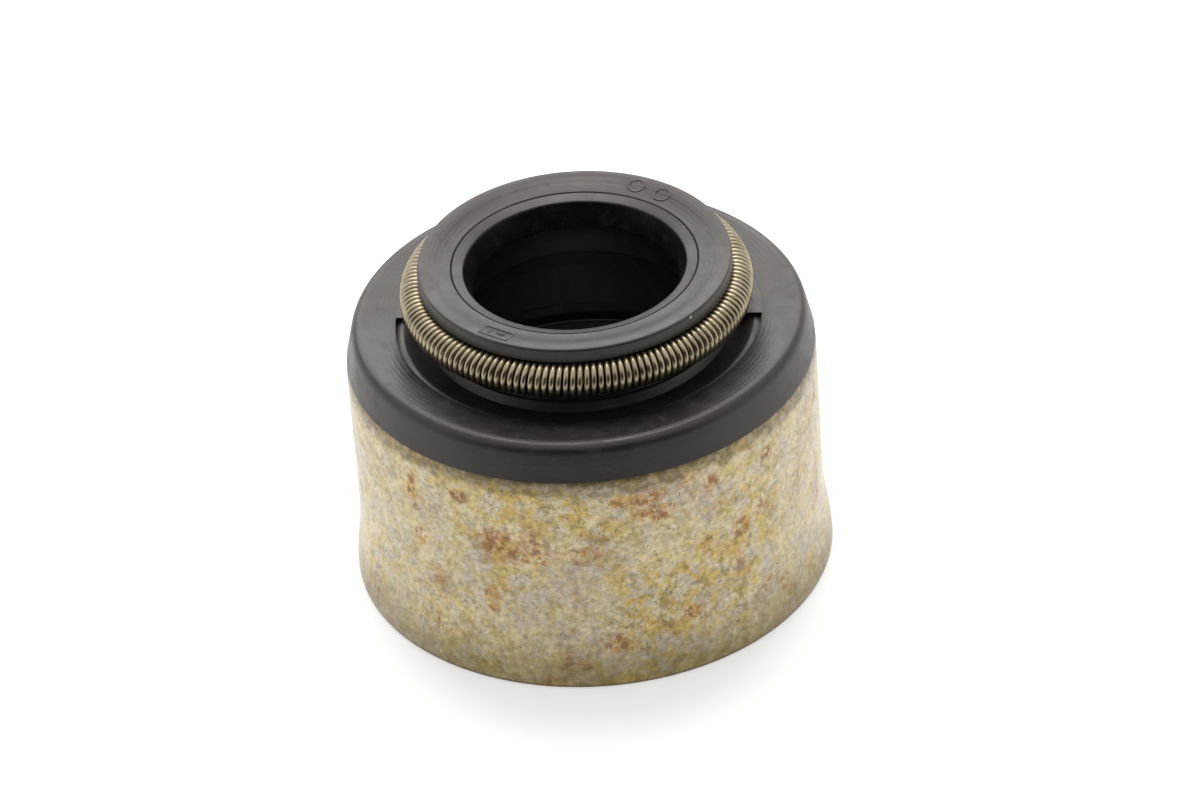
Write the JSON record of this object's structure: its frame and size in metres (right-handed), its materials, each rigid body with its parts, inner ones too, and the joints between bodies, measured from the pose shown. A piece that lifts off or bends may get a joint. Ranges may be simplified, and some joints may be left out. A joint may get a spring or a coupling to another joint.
{
  "type": "valve stem seal",
  "caption": "Round oil seal for an engine valve: a steel sleeve with a moulded rubber head, a sealing lip and a garter spring.",
  "frame": {"origin": "centre of the sleeve's open end, on the plane that it stands on", "axes": "+Z along the valve stem, up through the lip; -Y towards the front, where the shoulder has its half-round recess"},
  "size_m": [0.0156, 0.0156, 0.0113],
  "materials": {
    "sleeve_steel": "drawn sheet steel with a yellowish, rust-spotted patina",
    "seal_rubber": "moulded dark brown-grey rubber, satin",
    "spring_steel": "drawn spring wire, bright"
  },
  "bodies": {
    "root": {"metal_case": "sleeve_steel", "seal_body": "seal_rubber", "garter_spring": "spring_steel"}
  },
  "joints": []
}
